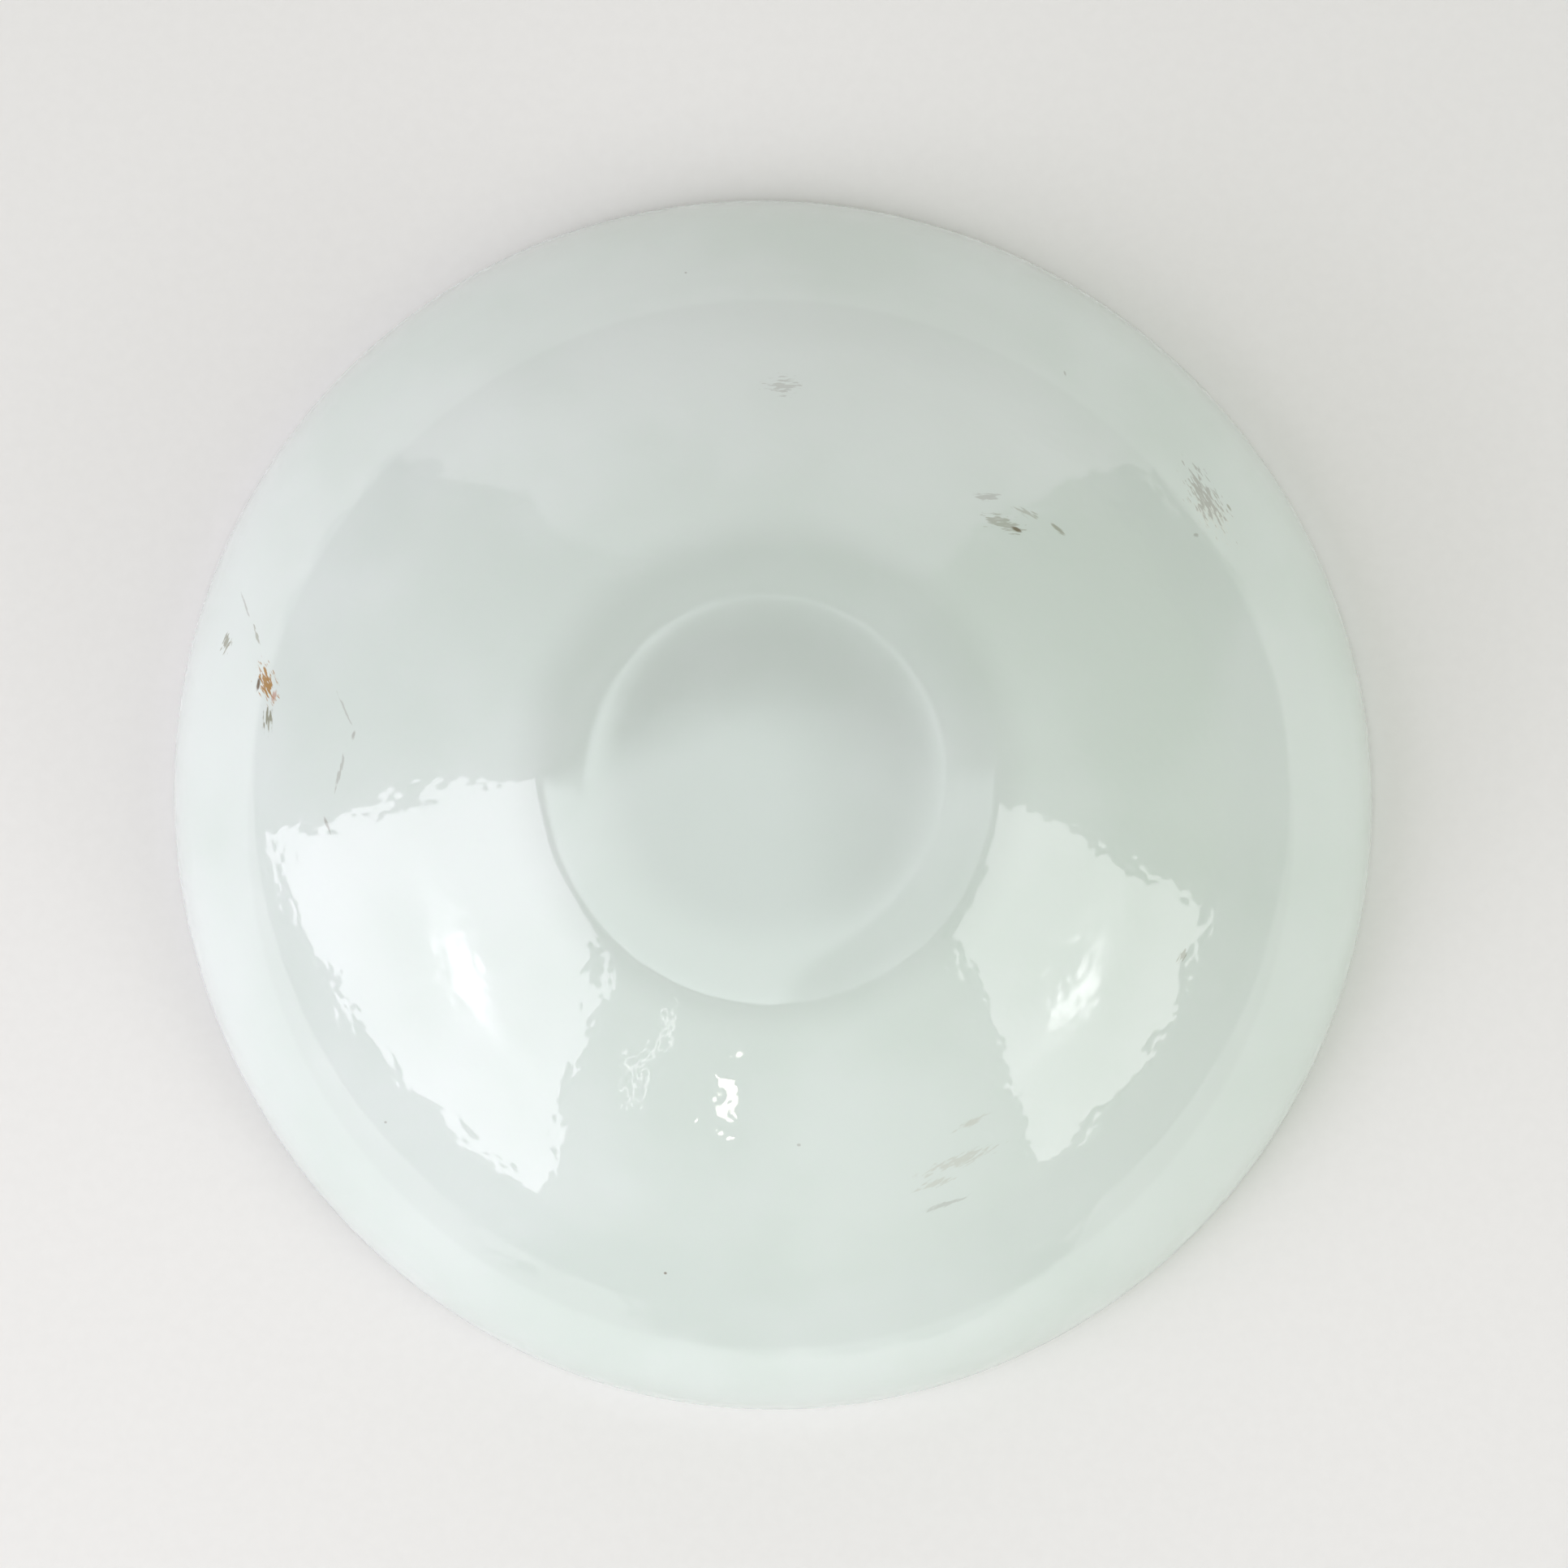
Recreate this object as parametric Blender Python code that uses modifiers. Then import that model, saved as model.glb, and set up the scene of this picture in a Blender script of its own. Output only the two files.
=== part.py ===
"""Round evaporating dish of opal glass, 100 mm across, standing upside down on its rim.

The dish is one piece of glass. The rim stands on the plane z = 0, the foot is on top, and the
hollow opens downwards. The outside is part of a sphere that steepens to the rim. Its base is
pressed flat: a low foot ring stands round a shallow floor. The wall is thinnest at the rim.

Run it with blender --background --python part.py, or from Blender's text editor.
"""

from math import asin, cos, hypot, pi, radians, sin, sqrt

import bpy

# Driving dimensions, in metres.
RIM_RADIUS = 0.050
WALL_RADIUS = 0.060
FLANK_START_RADIUS = 0.042
RIM_SLOPE = radians(70)
SHOULDER_RADIUS = 0.0180
FOOT_RADIUS = 0.0147
FOOT_RISE = 0.00025
FOOT_FACE_WIDTH = 0.0012
FOOT_INNER_SLOPE_WIDTH = 0.0011
FLOOR_RECESS = 0.0005
FLOOR_DOME = 0.0003
RIM_THICKNESS = 0.0026
WALL_THICKNESS_AT_BASE = 0.0038
INNER_CORNER_WIDTH = 0.0050
RIM_EDGE_RADIUS = 0.0006

# The dish is a little out of round: its long diameter lies along OVAL_DIRECTION.
OVAL = 0.008
OVAL_DIRECTION = radians(-67)

# How finely the round forms are divided.
TURN_STEPS = 72
WALL_POINTS = 8
FLANK_POINTS = 7
SHOULDER_POINTS = 3
FLOOR_POINTS = 3
INNER_CORNER_POINTS = 3
EDGE_POINTS = 2
MERGE_DISTANCE = 0.00001

# Opal glass: white with a little green, and glossy.
GLASS_COLOR = (0.66, 0.72, 0.68, 1.0)
GLASS_ROUGHNESS = 0.06
GLASS_IOR = 1.52


def clear_scene():
    """Remove every object that is in the scene."""
    for thing in list(bpy.data.objects):
        bpy.data.objects.remove(thing, do_unlink=True)


def spread(start, end, count):
    """Give count evenly spaced values that follow start and finish at end."""
    return [start + (end - start) * step / count for step in range(1, count + 1)]


def wall_depth(radius):
    """Depth of the spherical wall below the sphere's top, at a distance from the axis."""
    return WALL_RADIUS - sqrt(WALL_RADIUS ** 2 - radius ** 2)


def wall_slope(radius):
    """Slope of the spherical wall at a distance from the axis."""
    return asin(radius / WALL_RADIUS)


def flank_arc():
    """Radius and drop of the arc that leaves the sphere tangentially and ends at the rim."""
    start = wall_slope(FLANK_START_RADIUS)
    radius = (RIM_RADIUS - FLANK_START_RADIUS) / (sin(RIM_SLOPE) - sin(start))
    drop = radius * (cos(start) - cos(RIM_SLOPE))
    return radius, drop


def sphere_top():
    """Height of the wall sphere's top above the rim's face."""
    return wall_depth(FLANK_START_RADIUS) + flank_arc()[1] + RIM_EDGE_RADIUS


def foot_height():
    """Height of the foot ring's flat face, which is the height of the dish."""
    return sphere_top() - wall_depth(SHOULDER_RADIUS) + FOOT_RISE


def floor_points():
    """Outside of the base, from the axis to the foot ring: a low dome in a shallow recess."""
    edge = FOOT_RADIUS - FOOT_FACE_WIDTH / 2 - FOOT_INNER_SLOPE_WIDTH
    lowest = foot_height() - FLOOR_RECESS
    points = [(0.0, lowest + FLOOR_DOME)]
    for radius in spread(0.0, edge, FLOOR_POINTS):
        points.append((radius, lowest + FLOOR_DOME * (1 - (radius / edge) ** 2)))
    return points


def foot_points():
    """Flat face on top of the foot ring."""
    inner = FOOT_RADIUS - FOOT_FACE_WIDTH / 2
    return [(inner, foot_height()), (inner + FOOT_FACE_WIDTH, foot_height())]


def shoulder_points():
    """Shoulder that falls away from the foot ring, and meets the steeper wall at a soft crease."""
    start_radius, start_height = foot_points()[-1]
    span = SHOULDER_RADIUS - start_radius
    shares = spread(0.0, 1.0, SHOULDER_POINTS)
    return [(start_radius + span * share, start_height - FOOT_RISE * share ** 2) for share in shares]


def wall_points():
    """Spherical outside of the wall, from the shoulder to the flank."""
    radii = spread(SHOULDER_RADIUS, FLANK_START_RADIUS, WALL_POINTS)
    return [(radius, sphere_top() - wall_depth(radius)) for radius in radii]


def flank_points():
    """Outside of the wall where it steepens towards the rim."""
    radius, drop = flank_arc()
    start = wall_slope(FLANK_START_RADIUS)
    centre_x = FLANK_START_RADIUS - radius * sin(start)
    centre_z = sphere_top() - wall_depth(FLANK_START_RADIUS) - radius * cos(start)
    slopes = spread(start, RIM_SLOPE, FLANK_POINTS)
    return [(centre_x + radius * sin(slope), centre_z + radius * cos(slope)) for slope in slopes]


def rim_points():
    """Rounded edges on both sides of the rim's ground face, from the outside to the inside."""
    points = []
    outer = RIM_RADIUS - RIM_EDGE_RADIUS
    inner = RIM_RADIUS - RIM_THICKNESS + RIM_EDGE_RADIUS
    for angle in spread(0.0, pi / 2, EDGE_POINTS):
        points.append((outer + RIM_EDGE_RADIUS * cos(angle), RIM_EDGE_RADIUS * (1 - sin(angle))))
    for angle in spread(pi / 2, pi, EDGE_POINTS):
        points.append((inner + RIM_EDGE_RADIUS * cos(angle), RIM_EDGE_RADIUS * (1 - sin(angle))))
    points.insert(EDGE_POINTS, (inner, 0.0))
    return points


def outside_points():
    """Outside of the dish, from the axis at the top, down to the rim."""
    return floor_points() + foot_points() + shoulder_points() + wall_points() + flank_points()


def inside_wall_points():
    """Inside of the wall from the rim up, set in from the outside by the glass's thickness."""
    outside = shoulder_points()[-1:] + wall_points() + flank_points()
    points = []
    for before, here, after in zip(outside[:-2], outside[1:-1], outside[2:]):
        run, fall = after[0] - before[0], before[1] - after[1]
        length = hypot(run, fall)
        share = (RIM_RADIUS - here[0]) / (RIM_RADIUS - SHOULDER_RADIUS)
        thickness = RIM_THICKNESS + (WALL_THICKNESS_AT_BASE - RIM_THICKNESS) * share
        points.append((here[0] - thickness * fall / length, here[1] - thickness * run / length))
    points.reverse()
    return points


def inside_floor_points(before, last):
    """Inside of the base: the wall's slope runs out round a soft corner into a flat floor."""
    slope = (last[1] - before[1]) / (before[0] - last[0])
    points = []
    for way in spread(0.0, INNER_CORNER_WIDTH, INNER_CORNER_POINTS):
        rise = slope * (way - way ** 2 / (2 * INNER_CORNER_WIDTH))
        points.append((last[0] - way, last[1] + rise))
    corner_radius, floor = points[-1]
    points += [(radius, floor) for radius in spread(corner_radius, 0.0, FLOOR_POINTS)]
    return points


def inside_points():
    """Inside of the dish, from the rim up to the axis."""
    wall = inside_wall_points()
    return wall + inside_floor_points(wall[-2], wall[-1])


def dish_profile():
    """Half section of the dish, down the outside and back up the inside."""
    return outside_points() + rim_points() + inside_points()


def opal_glass():
    """Glossy opal glass."""
    material = bpy.data.materials.new("opal_glass")
    material.use_nodes = True
    shader = material.node_tree.nodes["Principled BSDF"]
    shader.inputs["Base Color"].default_value = GLASS_COLOR
    shader.inputs["Roughness"].default_value = GLASS_ROUGHNESS
    shader.inputs["IOR"].default_value = GLASS_IOR
    shader.inputs["Metallic"].default_value = 0.0
    material.diffuse_color = GLASS_COLOR
    return material


def turned(name, profile, collection):
    """Make an object by turning a profile round the Z axis."""
    mesh = bpy.data.meshes.new(name)
    edges = [(index, index + 1) for index in range(len(profile) - 1)]
    mesh.from_pydata([(radius, 0.0, height) for radius, height in profile], edges, [])
    turned_object = bpy.data.objects.new(name, mesh)
    collection.objects.link(turned_object)
    screw = turned_object.modifiers.new("turn", "SCREW")
    screw.axis = "Z"
    screw.angle = 2 * pi
    screw.steps = TURN_STEPS
    screw.render_steps = TURN_STEPS
    screw.use_merge_vertices = True
    screw.merge_threshold = MERGE_DISTANCE
    screw.use_smooth_shade = True
    return turned_object


def make_dish(collection):
    """Turn the dish, and make it slightly oval."""
    dish = turned("dish", dish_profile(), collection)
    dish.rotation_euler.z = OVAL_DIRECTION
    dish.scale = (1 + OVAL, 1 - OVAL, 1.0)
    dish.data.materials.append(opal_glass())
    return dish


def main():
    clear_scene()
    collection = bpy.data.collections.new("evaporating_dish")
    bpy.context.scene.collection.children.link(collection)
    make_dish(collection)
    bpy.context.view_layer.update()


main()
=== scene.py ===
"""The looks of the opal glass evaporating dish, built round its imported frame.

The dish stands upside down on its rim on a pale table. A finer surface replaces the CAD solid: the
same height and width, the slow waves of hand-made glass, low tooling rings on the wall, and the
stains and scratches of use. Two softboxes, two small lamps, a pale sweep and a soft glow overhead
light it.
"""

from math import cos, degrees, pi, radians, sin

import bpy
import numpy as np
from mathutils import Matrix, Vector, noise


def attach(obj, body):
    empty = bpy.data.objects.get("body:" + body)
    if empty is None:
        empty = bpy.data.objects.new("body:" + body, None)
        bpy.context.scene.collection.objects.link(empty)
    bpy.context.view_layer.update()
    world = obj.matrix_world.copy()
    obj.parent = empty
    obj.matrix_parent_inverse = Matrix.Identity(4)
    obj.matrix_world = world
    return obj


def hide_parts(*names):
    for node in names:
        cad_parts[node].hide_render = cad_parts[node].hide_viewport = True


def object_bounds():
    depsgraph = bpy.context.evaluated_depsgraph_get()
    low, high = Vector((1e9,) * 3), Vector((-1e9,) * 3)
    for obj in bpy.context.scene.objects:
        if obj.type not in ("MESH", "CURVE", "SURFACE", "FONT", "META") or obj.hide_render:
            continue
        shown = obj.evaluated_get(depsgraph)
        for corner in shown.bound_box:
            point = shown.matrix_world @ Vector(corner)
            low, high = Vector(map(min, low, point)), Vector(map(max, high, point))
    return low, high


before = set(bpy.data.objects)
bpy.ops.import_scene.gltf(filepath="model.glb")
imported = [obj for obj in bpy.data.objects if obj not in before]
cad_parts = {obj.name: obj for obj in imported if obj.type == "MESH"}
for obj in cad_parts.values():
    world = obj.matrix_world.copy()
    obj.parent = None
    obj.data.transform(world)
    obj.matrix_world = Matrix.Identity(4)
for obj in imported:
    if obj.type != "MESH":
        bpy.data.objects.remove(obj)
CAD_LOW, CAD_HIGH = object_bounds()

MM = 0.001

# Sizes that follow from the frame.
HEIGHT = CAD_HIGH.z - CAD_LOW.z
RIM_RADIUS = (CAD_HIGH.x - CAD_LOW.x + CAD_HIGH.y - CAD_LOW.y) / 4

# The profile, in proportion to the rim's radius. The two tables give slopes in degrees at shares of
# that radius: the base up to its crease, and the wall from where it leaves the sphere to the flank.
WALL_SPHERE = 1.20 * RIM_RADIUS
WALL_SLOPES = ((0.76, 39.3), (0.831, 40.7), (0.840, 43.2), (0.87, 43.3), (0.91, 43.6))
FLANK_START = WALL_SLOPES[-1][0] * RIM_RADIUS
RIM_SLOPE = radians(83)
CREASE = 0.353 * RIM_RADIUS
CREASE_WIDTH = 0.010 * RIM_RADIUS
BASE_SLOPES = (
    (0.0, 0.0), (0.12, 0.5), (0.235, 0.7), (0.255, 0.2), (0.270, -0.3),
    (0.285, 0.8), (0.305, 3.6), (0.335, 7.0), (0.36, 12.0),
)
FLOOR_EDGE = 0.27 * RIM_RADIUS
RIM_EDGE = 0.012 * RIM_RADIUS
RIM_THICKNESS = 0.052 * RIM_RADIUS
BASE_THICKNESS = 0.076 * RIM_RADIUS
INSIDE_CORNER = 0.40 * RIM_RADIUS
INSIDE_CORNER_WIDTH = 0.16 * RIM_RADIUS

# The inside's wall starts this many edge radii above the rim's face, clear of its rounded edge.
CLEAR_OF_RIM = 1.5

# Departures from a turned form.
OVAL = 0.008
OVAL_DIRECTION = radians(-67)
TRIANGLE_WAVE = 0.16 * MM
TRIANGLE_DIRECTION = radians(18)
INSET = 0.20 * MM

# Waves that hand work leaves, as height, length and seed. The medium ones calm down towards the rim.
SLOW_WAVE = (0.120 * MM, 20 * MM, 3.7)
MEDIUM_WAVE = (0.055 * MM, 5.2 * MM, 9.1)
CALM_START = 0.70
CALM_WIDTH = 0.12
CALM_SHARE = 0.6
FLOOR_WAVES = 0.08
RIM_FADE = 3 * MM

# Low rings that turning the hot glass has left on the wall: place and width in proportion to the
# rim's radius, and height in mm.
TOOLING_RINGS = ((0.60, 0.030, 0.012), (0.74, 0.045, -0.014), (0.90, 0.030, 0.008))

# How finely the surface is divided. It is finer at three bends: place, width and how much finer.
FINE_BENDS = ((0.834, 0.015, 3), (0.353, 0.010, 5), (0.28, 0.015, 3))
FINE_STEPS = 20001
TURNS = 360
OUTSIDE_STEPS = 260
INSIDE_STEPS = 70
INSIDE_FLOOR_STEPS = 60
RIM_STEPS = 6


def smooth(value):
    """Ease from 0 to 1 while value goes from 0 to 1."""
    value = np.clip(value, 0.0, 1.0)
    return value * value * (3 - 2 * value)


# ---------------------------------------------------------------- the surface of the dish

def outside_slope(radius):
    """Downward slope of the outside at a distance from the axis, in radians."""
    wall = np.arcsin(np.clip(radius / WALL_SPHERE, 0, 1))
    places, slopes = zip(*WALL_SLOPES)
    below = np.radians(np.interp(radius / RIM_RADIUS, places, slopes))
    wall = np.where(radius > places[0] * RIM_RADIUS, below, wall)
    start = sin(radians(slopes[-1]))
    share = np.clip((radius - FLANK_START) / (RIM_RADIUS - FLANK_START), 0, 1)
    flank = np.arcsin(start + (sin(RIM_SLOPE) - start) * share)
    slope = np.where(radius > FLANK_START, flank, wall)
    places, slopes = zip(*BASE_SLOPES)
    base = np.radians(np.interp(radius / RIM_RADIUS, places, slopes))
    beyond = smooth((radius - CREASE + CREASE_WIDTH) / (2 * CREASE_WIDTH))
    return base + (slope - base) * beyond


def outside_line():
    """Radius and height of points down the outside, from the axis to the rim's edge."""
    fine_radius = np.linspace(0.0, RIM_RADIUS, FINE_STEPS)
    slope = np.tan(outside_slope(fine_radius))
    step = fine_radius[1] - fine_radius[0]
    drop = np.concatenate([[0.0], np.cumsum((slope[1:] + slope[:-1]) / 2) * step])
    drop -= drop.min()
    height = HEIGHT - drop * (HEIGHT - RIM_EDGE) / drop[-1]
    length = np.concatenate([[0.0], np.cumsum(np.hypot(np.diff(fine_radius), np.diff(height)))])
    share = fine_radius / RIM_RADIUS
    density = np.ones(FINE_STEPS)
    for place, width, gain in FINE_BENDS:
        density = density + gain * np.exp(-((share - place) / width) ** 2)
    count = np.concatenate([[0.0], np.cumsum(density[1:] * np.diff(length))])
    stations = np.linspace(0.0, count[-1], OUTSIDE_STEPS)
    return np.interp(stations, count, fine_radius), np.interp(stations, count, height)


def offset_line(radius, height, thickness):
    """A line set in from another by a thickness, square to it."""
    run, rise = np.gradient(radius), np.gradient(height)
    length = np.hypot(run, rise)
    return radius + thickness * rise / length, height - thickness * run / length


def inside_line(radius, height):
    """Radius and height of points up the inside, from the rim's edge to the axis."""
    share = np.clip((RIM_RADIUS - radius) / (RIM_RADIUS - CREASE), 0, 1)
    thickness = RIM_THICKNESS + (BASE_THICKNESS - RIM_THICKNESS) * share
    inner_radius, inner_height = offset_line(radius, height, thickness)
    wall = (inner_radius > INSIDE_CORNER) & (inner_height > RIM_EDGE * CLEAR_OF_RIM)
    inner_radius, inner_height = inner_radius[wall][::-1], inner_height[wall][::-1]
    slope = (inner_height[-1] - inner_height[-4]) / (inner_radius[-4] - inner_radius[-1])
    floor_radius = np.linspace(inner_radius[-1], 0.0, INSIDE_FLOOR_STEPS)[1:]
    way = np.clip(inner_radius[-1] - floor_radius, 0, INSIDE_CORNER_WIDTH)
    floor_height = inner_height[-1] + slope * (way - way ** 2 / (2 * INSIDE_CORNER_WIDTH))
    line_radius = np.concatenate([inner_radius, floor_radius])
    line_height = np.concatenate([inner_height, floor_height])
    length = np.concatenate([[0.0], np.cumsum(np.hypot(np.diff(line_radius), np.diff(line_height)))])
    stations = np.linspace(0.0, length[-1], INSIDE_STEPS)
    return np.interp(stations, length, line_radius), np.interp(stations, length, line_height)


def rim_line():
    """Radius and height of points round the rim's ground face, from the outside in."""
    quarter = np.linspace(0.0, pi / 2, RIM_STEPS)[1:]
    outer = RIM_RADIUS - RIM_EDGE
    inner = RIM_RADIUS - RIM_THICKNESS + RIM_EDGE
    out_radius, out_height = outer + RIM_EDGE * np.cos(quarter), RIM_EDGE * (1 - np.sin(quarter))
    in_radius = inner - RIM_EDGE * np.cos(quarter[::-1])
    return np.concatenate([out_radius, in_radius]), np.concatenate([out_height, out_height[::-1]])


def wave(x, y, z, rise, size, seed):
    """Smooth noise with waves about size across, up to rise high."""
    return rise * noise.noise(Vector((x / size + seed, y / size - seed, z / size + 2 * seed)))


def hand_made(x, y, z):
    """How far hand work has pushed the outside out or in at a point, in metres."""
    calm = smooth((np.hypot(x, y) / RIM_RADIUS - CALM_START) / CALM_WIDTH)
    return wave(x, y, z, *SLOW_WAVE) + wave(x, y, z, *MEDIUM_WAVE) * (1 - CALM_SHARE * calm)


def tooling_rings(radius):
    """How far the tooling rings stand out at a distance from the axis, in metres."""
    ring = 0.0
    for centre, width, rise in TOOLING_RINGS:
        share = (radius / RIM_RADIUS - centre) / width
        ring += rise * MM * np.exp(-share * share)
    return ring


def dish_points():
    """Every point of the surface as an array of rings, from the outside's axis to the inside's."""
    out_radius, out_height = outside_line()
    edge_radius, edge_height = rim_line()
    in_radius, in_height = inside_line(out_radius, out_height)
    radius = np.concatenate([out_radius[1:], edge_radius, in_radius[:-1]])
    height = np.concatenate([out_height[1:], edge_height, in_height[:-1]])
    outside = np.arange(len(radius)) < OUTSIDE_STEPS - 1
    angle = np.linspace(0, 2 * pi, TURNS, endpoint=False)
    run, rise = np.gradient(radius), np.gradient(height)
    length = np.hypot(run, rise)
    out_normal, up_normal = -rise / length, run / length
    fade = np.where(outside, smooth((RIM_RADIUS - radius) / RIM_FADE), 0.0)
    past_floor = smooth((radius - FLOOR_EDGE) / (CREASE - FLOOR_EDGE))
    fade *= FLOOR_WAVES + (1 - FLOOR_WAVES) * past_floor
    points = np.zeros((len(radius), TURNS, 3))
    for ring in range(len(radius)):
        x, y = radius[ring] * np.cos(angle), radius[ring] * np.sin(angle)
        push = np.zeros(TURNS)
        if fade[ring] > 0:
            push = np.array([hand_made(px, py, height[ring]) for px, py in zip(x, y)])
            push = (push + tooling_rings(radius[ring])) * fade[ring]
        spread = radius[ring] + out_normal[ring] * push
        share = radius[ring] / RIM_RADIUS
        spread += TRIANGLE_WAVE * share ** 3 * np.cos(3 * (angle - TRIANGLE_DIRECTION)) - INSET * share
        points[ring, :, 0] = spread * np.cos(angle)
        points[ring, :, 1] = spread * np.sin(angle)
        points[ring, :, 2] = height[ring] + up_normal[ring] * push
    return points, (out_height[0], in_height[-1])


def make_oval(points):
    """Stretch the points a little along the dish's long diameter, and squeeze them across it."""
    along = np.array([cos(OVAL_DIRECTION), sin(OVAL_DIRECTION)])
    across = np.array([-along[1], along[0]])
    flat = points[..., :2]
    stretched = (flat @ along)[..., None] * along * (1 + OVAL)
    points[..., :2] = stretched + (flat @ across)[..., None] * across * (1 - OVAL)
    return points


def dish_faces(rings):
    """Quads between neighbouring rings, and a fan of triangles at each pole."""
    faces = []
    for ring in range(rings - 1):
        for turn in range(TURNS):
            here, after = ring * TURNS + turn, ring * TURNS + (turn + 1) % TURNS
            faces.append((here, here + TURNS, after + TURNS, after))
    top, bottom = rings * TURNS, rings * TURNS + 1
    last = (rings - 1) * TURNS
    for turn in range(TURNS):
        after = (turn + 1) % TURNS
        faces.append((top, turn, after))
        faces.append((bottom, last + after, last + turn))
    return faces


def make_dish():
    """The visible dish, in place of the CAD solid."""
    points, (top, bottom) = dish_points()
    points = make_oval(points)
    rings = len(points)
    vertices = np.concatenate([points.reshape(-1, 3), [[0, 0, top], [0, 0, bottom]]])
    mesh = bpy.data.meshes.new("dish_glass")
    mesh.from_pydata(vertices.tolist(), [], dish_faces(rings))
    mesh.validate()
    mesh.shade_smooth()
    dish = bpy.data.objects.new("dish_glass", mesh)
    bpy.context.scene.collection.objects.link(dish)
    return dish


# ---------------------------------------------------------------- materials

class Nodes:
    """Short names for making and linking a tree's nodes."""

    def __init__(self, tree):
        self.tree = tree

    def add(self, kind, **settings):
        node = self.tree.nodes.new(kind)
        for name, value in settings.items():
            setattr(node, name, value)
        return node

    def link(self, source, target):
        if isinstance(source, (int, float, tuple, list, Vector)):
            target.default_value = source
        else:
            self.tree.links.new(source, target)

    def math(self, operation, first, second=0.0):
        node = self.add("ShaderNodeMath", operation=operation)
        self.link(first, node.inputs[0])
        self.link(second, node.inputs[1])
        return node.outputs[0]

    def ramp(self, value, low, high, to_low=0.0, to_high=1.0):
        """Ease from to_low to to_high while value goes from low to high."""
        node = self.add("ShaderNodeMapRange", interpolation_type="SMOOTHSTEP")
        self.link(value, node.inputs["Value"])
        node.inputs["From Min"].default_value = low
        node.inputs["From Max"].default_value = high
        node.inputs["To Min"].default_value = to_low
        node.inputs["To Max"].default_value = to_high
        return node.outputs["Result"]

    def noise(self, vector, scale, detail, roughness=0.5):
        node = self.add("ShaderNodeTexNoise")
        self.link(vector, node.inputs["Vector"])
        node.inputs["Scale"].default_value = scale
        node.inputs["Detail"].default_value = detail
        node.inputs["Roughness"].default_value = roughness
        return node.outputs["Fac"]

    def mix(self, factor, first, second):
        node = self.add("ShaderNodeMix", data_type="RGBA")
        self.link(factor, node.inputs[0])
        self.link(first, node.inputs[6])
        self.link(second, node.inputs[7])
        return node.outputs[2]


def product(nodes, first, *others):
    """All of the values multiplied together."""
    for other in others:
        first = nodes.math("MULTIPLY", first, other)
    return first


def principled(name):
    """A new material, its nodes and its Principled shader."""
    material = bpy.data.materials.new(name)
    material.use_nodes = True
    return material, Nodes(material.node_tree), material.node_tree.nodes["Principled BSDF"]


# The glass: its two colours, how it scatters and mirrors light, and the fine ripple of its skin.
OPAL_GREEN = (0.655, 0.720, 0.690, 1.0)
OPAL_WHITE = (0.700, 0.755, 0.738, 1.0)
CLOUD_SCALE = 45
SCATTER_RADIUS = (1.0, 1.05, 1.0)
SCATTER_SCALE = 1.6 * MM
GLASS_IOR = 1.52
GLASS_ROUGHNESS = 0.03
RIPPLE_SCALE = 340
RIPPLE_HEIGHT = 0.085 * MM
RIPPLE_ON_WALL = (0.34, 0.38, 0.05, 1.0)
RIPPLE_OFF_FLANK = (0.68, 0.82, 1.0, 0.3)

# Painted shade makes the base darker than the wall, its foot less so, and painted light makes the flank
# paler. Each change lies between two shares of the rim's radius. The flank's edge isn't concentric with
# the rim.
# Painted shade: inside the foot the glass colour is scaled down to this share of the wall's; the shade
# lifts a little across the foot and is gone up on the wall.
BASE_PAINTED_SHADE = 0.83
FOOT_SHADE_LIFT = 0.07
FOOT_SHADE_EDGE = (0.200, 0.295)
WALL_SHADE_EDGE = (0.325, 0.420)
# Painted light: the flank's colour is raised by this share of the wall's, for the brighter band of
# light it catches.
FLANK_PAINTED_LIGHT = 0.035
FLANK_LIGHT_EDGE = (0.828, 0.840)
AXIS = (0.0, 0.0, 0.0)
FLANK_LIGHT_OFFSET = (0.0, 3.0 * MM, 0.0)

AMBER = (0.42, 0.25, 0.09, 1.0)
DARK_BROWN = (0.14, 0.085, 0.04, 1.0)
ROSY = (0.50, 0.30, 0.22, 1.0)
GREY_GREEN = (0.27, 0.27, 0.19, 1.0)
GREY = (0.33, 0.33, 0.30, 1.0)
PALE_BROWN = (0.46, 0.43, 0.36, 1.0)
CHALK = (0.74, 0.76, 0.70, 1.0)

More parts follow.
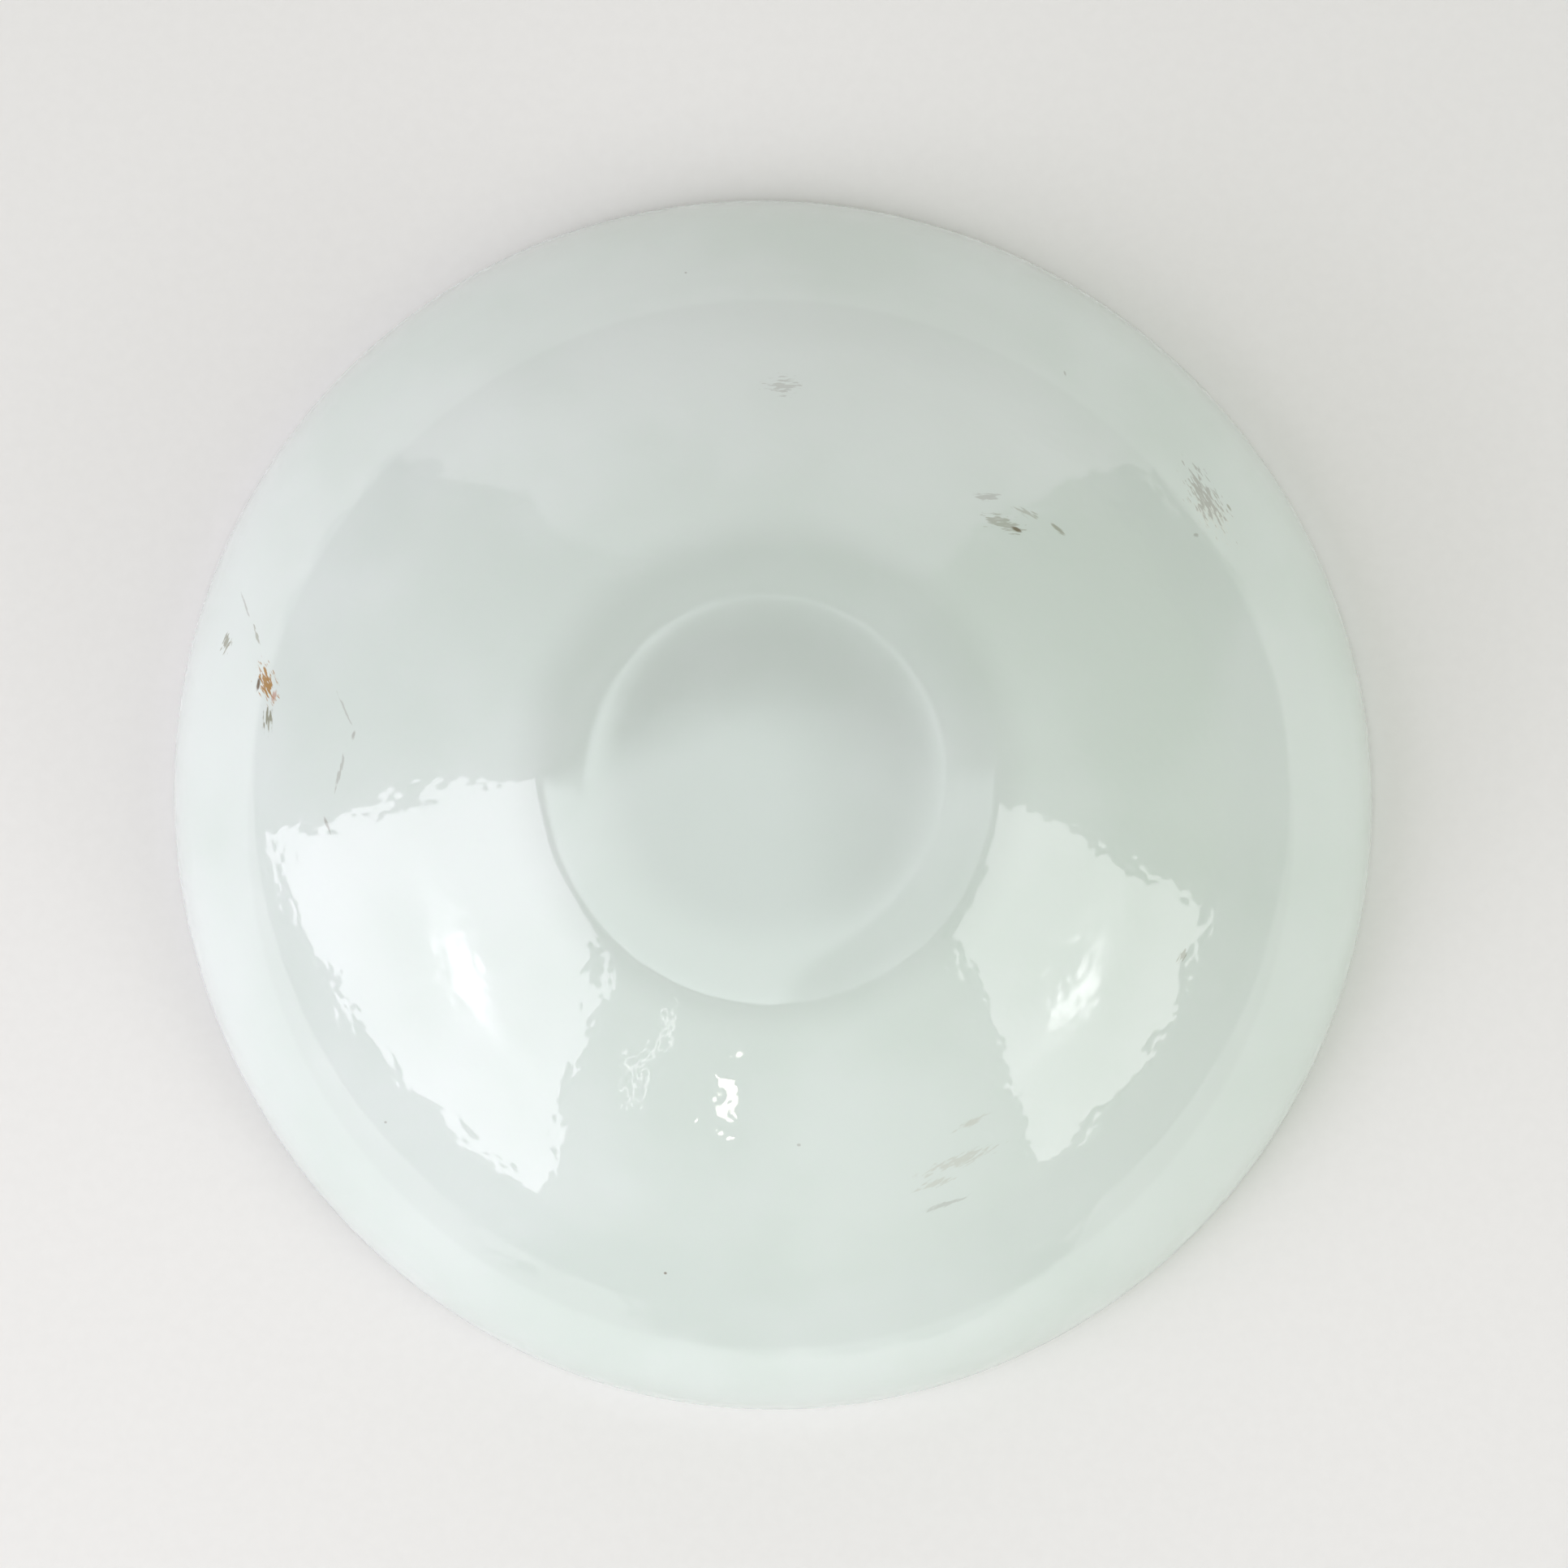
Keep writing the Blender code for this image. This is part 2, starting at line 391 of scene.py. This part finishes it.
# Stains, scratches and specks on the outside: place (x, y), half length and half width in mm, the
# way the long side points in degrees, how ragged, how strong, and the colour. Strokes of a scraped
# grain break them up; the grain follows each mark's direction in steps of STROKE_TURN degrees.
MARKS = (
    (-40.2, 8.3, 1.50, 0.80, 115, 2.6, 0.95, AMBER),
    (-40.9, 8.2, 0.75, 0.20, 78, 0.6, 0.90, DARK_BROWN),
    (-39.5, 7.0, 0.60, 0.25, 80, 1.0, 0.80, ROSY),
    (-40.0, 5.2, 1.00, 0.42, 84, 2.2, 0.85, GREY_GREEN),
    (-44.0, 11.9, 0.70, 0.45, 70, 2.4, 0.70, GREY_GREEN),
    (-42.4, 14.9, 1.40, 0.10, 112, 1.2, 0.45, GREY),
    (-41.2, 12.2, 1.30, 0.12, 110, 1.4, 0.55, GREY_GREEN),
    (-33.3, 5.6, 1.70, 0.10, 115, 1.2, 0.40, GREY),
    (-32.5, 3.5, 0.50, 0.18, 75, 0.8, 0.55, GREY),
    (-33.6, 0.8, 1.90, 0.16, 76, 1.8, 0.45, GREY),
    (-34.7, -3.4, 0.85, 0.16, 112, 0.8, 0.60, GREY),
    (19.2, 19.2, 0.50, 0.20, -28, 0.5, 0.85, DARK_BROWN),
    (18.3, 19.6, 1.50, 0.60, 165, 2.2, 0.45, GREY_GREEN),
    (20.0, 20.6, 1.10, 0.30, 160, 1.6, 0.40, GREY_GREEN),
    (22.5, 19.4, 0.85, 0.20, -40, 0.8, 0.60, GREY_GREEN),
    (16.9, 21.8, 0.90, 0.35, 5, 1.8, 0.40, GREY),
    (35.3, 22.5, 2.80, 1.60, 120, 2.2, 0.45, CHALK),
    (35.0, 23.2, 2.20, 1.10, 115, 3.4, 0.55, GREY),
    (36.9, 22.6, 0.45, 0.12, -58, 0.5, 0.60, GREY_GREEN),
    (33.9, 19.9, 0.30, 0.22, 0, 0.6, 0.45, GREY),
    (15.6, -26.7, 1.40, 0.28, 27, 1.4, 0.30, PALE_BROWN),
    (14.8, -29.6, 2.80, 0.45, 20, 2.2, 0.28, PALE_BROWN),
    (12.8, -31.4, 1.60, 0.30, 18, 2.0, 0.28, PALE_BROWN),
    (13.8, -33.0, 1.80, 0.20, 19, 1.6, 0.32, GREY),
    (2.3, -28.4, 0.22, 0.16, 0, 0.5, 0.45, GREY),
    (32.2, -13.8, 0.60, 0.30, 60, 1.8, 0.50, GREY_GREEN),
    (-8.2, -38.5, 0.16, 0.14, 0, 0.3, 0.70, DARK_BROWN),
    (-30.4, -26.7, 0.15, 0.13, 0, 0.3, 0.60, GREY),
    (-6.8, 41.4, 0.14, 0.12, 0, 0.3, 0.50, GREY),
    (0.9, 30.8, 1.10, 0.60, 0, 3.0, 0.35, GREY),
    (23.6, 33.1, 0.30, 0.12, 100, 0.5, 0.45, GREY),
)


STROKE_TURN = 30
STROKE_SIZE = (0.9 * MM, 0.16 * MM, 0.6 * MM)
MARK_DEPTH = 1.8 * MM
MARK_CORE = 0.45
RAGGED_GAIN = 1.6


def outside_height(x, y):
    """Height of the outside above a place on the table, in metres."""
    radius, height = outside_line()
    return float(np.interp(np.hypot(x, y), radius, height))


def marked(nodes, place, color):
    """The glass's colour with every stain, scratch and speck laid over it."""
    strokes = {}
    for x, y, length, width, turn, ragged, strength, mark_color in MARKS:
        step = round(turn / STROKE_TURN)
        if step not in strokes:
            grain = nodes.add("ShaderNodeMapping", vector_type="TEXTURE")
            nodes.link(place, grain.inputs["Vector"])
            grain.inputs["Rotation"].default_value = (0, 0, radians(step * STROKE_TURN))
            grain.inputs["Scale"].default_value = STROKE_SIZE
            strokes[step] = nodes.noise(grain.outputs[0], 1.0, 2.0)
        centre = (x * MM, y * MM, outside_height(x * MM, y * MM))
        spot = nodes.add("ShaderNodeMapping", vector_type="TEXTURE")
        nodes.link(place, spot.inputs["Vector"])
        spot.inputs["Location"].default_value = centre
        spot.inputs["Rotation"].default_value = (0, 0, radians(turn))
        spot.inputs["Scale"].default_value = (length * MM, width * MM, MARK_DEPTH)
        far = nodes.add("ShaderNodeVectorMath", operation="LENGTH")
        nodes.link(spot.outputs[0], far.inputs[0])
        broken = nodes.math("SUBTRACT", 0.5, strokes[step])
        broken = nodes.math("MULTIPLY", broken, ragged * RAGGED_GAIN)
        edge = nodes.math("ADD", far.outputs["Value"], broken)
        color = nodes.mix(nodes.ramp(edge, MARK_CORE, 1.0, strength, 0.0), color, mark_color)
    return color


def share_of_rim(nodes, place, offset):
    """Distance from a shifted axis, in proportion to the rim's radius."""
    moved = nodes.add("ShaderNodeVectorMath", operation="ADD")
    nodes.link(place, moved.inputs[0])
    moved.inputs[1].default_value = offset
    flat = nodes.add("ShaderNodeVectorMath", operation="MULTIPLY")
    nodes.link(moved.outputs[0], flat.inputs[0])
    flat.inputs[1].default_value = (1.0, 1.0, 0.0)
    length = nodes.add("ShaderNodeVectorMath", operation="LENGTH")
    nodes.link(flat.outputs[0], length.inputs[0])
    return nodes.math("DIVIDE", length.outputs["Value"], RIM_RADIUS)


def opal_glass():
    """Glossy opal glass: white with a little green, cloudy and stained, with painted shade in the base
    and painted light on the flank.
    """
    material, nodes, shader = principled("opal_glass_fine")
    place = nodes.add("ShaderNodeTexCoord").outputs["Object"]
    cloud = nodes.ramp(nodes.noise(place, CLOUD_SCALE, 3.0), 0.35, 0.65)
    color = nodes.mix(cloud, OPAL_GREEN, OPAL_WHITE)

    radius = share_of_rim(nodes, place, AXIS)
    # Painted light: the flank is painted paler beyond an edge that is shifted off the axis.
    flank_light_radius = share_of_rim(nodes, place, FLANK_LIGHT_OFFSET)
    flank = nodes.ramp(flank_light_radius, *FLANK_LIGHT_EDGE, 0.0, FLANK_PAINTED_LIGHT)
    # Painted shade: the colour darkens towards the base, less over the foot, and not at all on the
    # wall.
    foot_shade = nodes.ramp(radius, *FOOT_SHADE_EDGE, BASE_PAINTED_SHADE, BASE_PAINTED_SHADE + FOOT_SHADE_LIFT)
    wall = nodes.ramp(radius, *WALL_SHADE_EDGE, 0.0, 1.0 - BASE_PAINTED_SHADE - FOOT_SHADE_LIFT)
    brightness = nodes.math("ADD", nodes.math("ADD", foot_shade, wall), flank)
    light_and_shade_color = nodes.add("ShaderNodeVectorMath", operation="SCALE")
    nodes.link(color, light_and_shade_color.inputs[0])
    nodes.link(brightness, light_and_shade_color.inputs["Scale"])
    nodes.link(marked(nodes, place, light_and_shade_color.outputs[0]), shader.inputs["Base Color"])

    shader.inputs["Subsurface Weight"].default_value = 1.0
    shader.inputs["Subsurface Radius"].default_value = SCATTER_RADIUS
    shader.inputs["Subsurface Scale"].default_value = SCATTER_SCALE
    shader.inputs["IOR"].default_value = GLASS_IOR
    shader.inputs["Roughness"].default_value = GLASS_ROUGHNESS
    ripple = nodes.noise(place, RIPPLE_SCALE, 2.0, 0.55)
    on_wall = nodes.ramp(radius, *RIPPLE_ON_WALL)
    off_flank = nodes.ramp(radius, *RIPPLE_OFF_FLANK)
    ripple = product(nodes, on_wall, off_flank, ripple)
    bump = nodes.add("ShaderNodeBump")
    bump.inputs["Strength"].default_value = 1.0
    bump.inputs["Distance"].default_value = RIPPLE_HEIGHT
    nodes.link(ripple, bump.inputs["Height"])
    nodes.link(bump.outputs["Normal"], shader.inputs["Normal"])
    return material


PAPER_DARK = (0.765, 0.760, 0.757, 1)
PAPER_LIGHT = (0.777, 0.772, 0.769, 1)
PAPER_GRAIN_SCALE = 900


def table_paper():
    """Matt white paper with a faint grain."""
    material, nodes, shader = principled("table_paper")
    place = nodes.add("ShaderNodeTexCoord").outputs["Object"]
    grain = nodes.noise(place, PAPER_GRAIN_SCALE, 4.0, 0.6)
    color = nodes.mix(nodes.ramp(grain, 0.3, 0.7), PAPER_DARK, PAPER_LIGHT)
    nodes.link(color, shader.inputs["Base Color"])
    shader.inputs["Roughness"].default_value = 0.9
    shader.inputs["Specular IOR Level"].default_value = 0.2
    return material


# ---------------------------------------------------------------- table, light and camera

def direction(azimuth, elevation):
    """Unit vector that points to an azimuth, counted from +X, and an elevation, in degrees."""
    level = cos(radians(elevation))
    across, along = cos(radians(azimuth)), sin(radians(azimuth))
    return Vector((across * level, along * level, sin(radians(elevation))))


TABLE_RADIUS = 0.45
TABLE_TURNS = 180
TABLE_GAP = 0.05 * MM


def make_table():
    """A round, pale table top, which isn't part of the object."""
    bpy.ops.mesh.primitive_circle_add(
        vertices=TABLE_TURNS, radius=TABLE_RADIUS, fill_type="NGON"
    )
    table = bpy.context.object
    table.name = "table"
    table.location.z = CAD_LOW.z - TABLE_GAP
    table.data.materials.append(table_paper())
    return table


def area_light(name, place, angles, size, color):
    """A rectangular light of a colour's radiance, placed in metres and turned in degrees."""
    light = bpy.data.lights.new(name, "AREA")
    light.shape = "RECTANGLE"
    light.size, light.size_y = size
    light.energy = pi * size[0] * size[1]
    light.color = color
    holder = bpy.data.objects.new(name, light)
    bpy.context.scene.collection.objects.link(holder)
    holder.location = place
    holder.rotation_euler = [radians(angle) for angle in angles]
    holder.visible_camera = False
    return holder


# The light of each softbox is strongest near its own lamp, a short level bar: how far that bar is
# above the softbox's middle, and its glow as width, height and strength over the softbox's own.
BAR_HEIGHT = -0.285
BAR_GLOWS = ((0.065, 0.045, 2.0), (0.20, 0.045, 0.5))


def lamp_behind(holder):
    """Make a softbox brighter where its own lamp is."""
    light = holder.data
    light.use_nodes = True
    nodes = Nodes(light.node_tree)
    emission = light.node_tree.nodes["Emission"]
    parts = nodes.add("ShaderNodeSeparateXYZ")
    nodes.link(nodes.add("ShaderNodeNewGeometry").outputs["Parametric"], parts.inputs[0])
    across = nodes.math("MULTIPLY", nodes.math("SUBTRACT", parts.outputs[0], 0.5), light.size)
    above = nodes.math("MULTIPLY", nodes.math("SUBTRACT", parts.outputs[1], 0.5), light.size_y)
    above = nodes.math("SUBTRACT", above, BAR_HEIGHT)
    total = 1.0
    for wide, tall, gain in BAR_GLOWS:
        sides = nodes.math("DIVIDE", across, wide), nodes.math("DIVIDE", above, tall)
        squares = [nodes.math("MULTIPLY", side, side) for side in sides]
        distance = nodes.math("ADD", *squares)
        spot = nodes.math("EXPONENT", nodes.math("MULTIPLY", distance, -1.0))
        total = nodes.math("ADD", total, nodes.math("MULTIPLY", spot, gain))
    nodes.link(total, emission.inputs["Strength"])


# Softboxes: name, place in metres, turn in degrees, size in metres, and radiance.
SOFTBOXES = (
    ("softbox_left", (-0.561, -0.248, 0.612), (100.0, -8.7, -74.9), (0.587, 1.094), (3.12, 3.00, 3.28)),
    ("softbox_right", (0.576, -0.277, 0.627), (102.9, 7.2, 85.2), (0.479, 1.069), (2.48, 2.42, 2.50)),
)

# Small lamps, which face the dish: name, azimuth and elevation in degrees, size, and radiance.
LAMPS = (
    ("small_lamp", -99.8, 41.8, (0.022, 0.100), (14.0, 13.0, 11.5)),
    ("lamp_stand", -117, 47, (0.008, 0.26), (3.4, 3.3, 3.3)),
)
LAMP_DISTANCE = 0.65


def make_lights():
    """Two tall softboxes, a small warm lamp, and the pale stand of a lamp."""
    for name, place, angles, size, color in SOFTBOXES:
        lamp_behind(area_light(name, place, angles, size, color))
    for name, azimuth, elevation, size, color in LAMPS:
        way = direction(azimuth, elevation)
        angles = [degrees(angle) for angle in way.to_track_quat("Z", "Y").to_euler()]
        area_light(name, way * LAMP_DISTANCE, angles, size, color)


# Radiance of the parts of the studio that the softboxes don't cover. The room is dimmer along its
# foot, and the overhead panel on its right side.
ROOM_LEFT = (0.15, 0.12, 0.08)
ROOM_RIGHT = (0.24, 0.28, 0.17)
SWEEP = (1.02, 0.95, 0.98)
OVERHEAD = (3.05, 3.30, 3.35)
GROUND = (0.80, 0.79, 0.78)
STRIP_SHARE = 0.25
STRIP_TOP = (0.13, 0.16)
ROOM_SEAM = 0.05
OVERHEAD_RIGHT_SHARE = 0.4
OVERHEAD_RIGHT = (-0.010, 0.045)
HORIZON = 0.004

# The sweep's side and top edges and its change in brightness, as start, end, and the two values.
# Sideways and up are measured on a plane one metre behind the dish, and its sides lean inwards.
SWEEP_SIDE = (1.00, 1.04, 1.0, 0.0)
SWEEP_LEAN = 0.30
SWEEP_TOP = (1.15, 1.45, 1.0, 0.0)
SWEEP_LOW_TONE = (0.0, 0.25, 0.72, 1.0)
SWEEP_HIGH_TONE = (0.25, 1.25, 1.20, 0.78)
SWEEP_BEHIND = (0.0, 0.02)

# The near edge of the overhead panel is bowed. It lies at EDGE_START to EDGE_END at BOW_MIDDLE, and
# bends back to both sides by up to BOW_LIMIT, all of them parts of a unit vector.
EDGE_START = 0.086
EDGE_END = 0.128
BOW_MIDDLE = -0.015
BOW = 7.0
BOW_LIMIT = 0.03
PANEL_EDGE = (cos(radians(25)), cos(radians(19)))


def scaled(nodes, color, factor):
    """A colour times a factor."""
    node = nodes.add("ShaderNodeVectorMath", operation="SCALE")
    node.inputs[0].default_value = color
    nodes.link(factor, node.inputs["Scale"])
    return node.outputs[0]


def sweep_share(nodes, x, y, z):
    """Where the pale sweep stands behind the dish, and how bright it is in each direction."""
    depth = nodes.math("MAXIMUM", y, 0.0001)
    up = nodes.math("DIVIDE", z, depth)
    side = nodes.math("DIVIDE", nodes.math("ABSOLUTE", x), depth)
    side = nodes.math("ADD", side, nodes.math("MULTIPLY", up, SWEEP_LEAN))
    inside = product(
        nodes,
        nodes.ramp(side, *SWEEP_SIDE),
        nodes.ramp(up, *SWEEP_TOP),
        nodes.ramp(y, *SWEEP_BEHIND),
        nodes.ramp(z, -HORIZON, HORIZON),
    )
    low, high = nodes.ramp(up, *SWEEP_LOW_TONE), nodes.ramp(up, *SWEEP_HIGH_TONE)
    brightness = product(nodes, low, high)
    return inside, brightness


def overhead_share(nodes, x, y, z):
    """Where the soft panel overhead is, with its bowed near edge."""
    across = nodes.math("SUBTRACT", x, BOW_MIDDLE)
    bow = nodes.math("MULTIPLY", nodes.math("MULTIPLY", across, across), BOW)
    edge = nodes.math("ADD", y, nodes.math("MINIMUM", bow, BOW_LIMIT))
    return product(
        nodes,
        nodes.ramp(edge, EDGE_START, EDGE_END, 1.0, 0.0),
        nodes.ramp(x, *OVERHEAD_RIGHT, 1.0, OVERHEAD_RIGHT_SHARE),
        nodes.ramp(z, *PANEL_EDGE),
    )


def make_world():
    """A dim room, a pale sweep behind the dish, a soft panel overhead, and pale ground beyond."""
    world = bpy.data.worlds.new("studio")
    bpy.context.scene.world = world
    world.use_nodes = True
    nodes = Nodes(world.node_tree)
    background = world.node_tree.nodes["Background"]
    way = nodes.add("ShaderNodeTexCoord").outputs["Generated"]
    parts = nodes.add("ShaderNodeSeparateXYZ")
    nodes.link(way, parts.inputs[0])
    x, y, z = parts.outputs

    sweep, sweep_brightness = sweep_share(nodes, x, y, z)
    outside = nodes.math("SUBTRACT", 1.0, sweep)
    strip = nodes.ramp(z, *STRIP_TOP, STRIP_SHARE, 1.0)
    left = nodes.ramp(x, -ROOM_SEAM, ROOM_SEAM, 1.0, 0.0)
    right = nodes.ramp(x, -ROOM_SEAM, ROOM_SEAM, 0.0, 1.0)
    areas = (
        (ROOM_LEFT, product(nodes, left, strip, outside)),
        (ROOM_RIGHT, product(nodes, right, strip, outside)),
        (SWEEP, product(nodes, sweep, sweep_brightness)),
        (OVERHEAD, overhead_share(nodes, x, y, z)),
        (GROUND, nodes.ramp(z, -HORIZON, HORIZON, 1.0, 0.0)),
    )
    total = (0.0, 0.0, 0.0)
    for color, share in areas:
        add = nodes.add("ShaderNodeVectorMath", operation="ADD")
        nodes.link(total, add.inputs[0])
        nodes.link(scaled(nodes, color, share), add.inputs[1])
        total = add.outputs[0]
    nodes.link(total, background.inputs["Color"])
    background.inputs["Strength"].default_value = 1.0


CAMERA_PLACE = Vector((2.8, -25.2, 349.1)) * MM
CAMERA_TARGET = Vector((1.04, 1.15, 0.0)) * MM
CAMERA_LENS = 97.10
SENSOR_WIDTH = 36.0
CLIP_START = 0.01


def make_camera():
    """Almost straight above the dish, a little to its front."""
    data = bpy.data.cameras.new("camera")
    data.lens = CAMERA_LENS
    data.sensor_width = SENSOR_WIDTH
    data.clip_start = CLIP_START
    camera = bpy.data.objects.new("camera", data)
    bpy.context.scene.collection.objects.link(camera)
    back = (CAMERA_PLACE - CAMERA_TARGET).normalized()
    right = Vector((0, 1, 0)).cross(back).normalized()
    camera.location = CAMERA_PLACE
    camera.rotation_euler = Matrix((right, back.cross(right), back)).transposed().to_euler()
    bpy.context.scene.camera = camera


make_camera()
glass = make_dish()
glass.data.materials.append(opal_glass())
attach(glass, "root")
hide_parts("dish")
make_table()
make_lights()
make_world()
bpy.context.scene.view_settings.view_transform = "Standard"
bpy.context.scene.view_settings.look = "None"
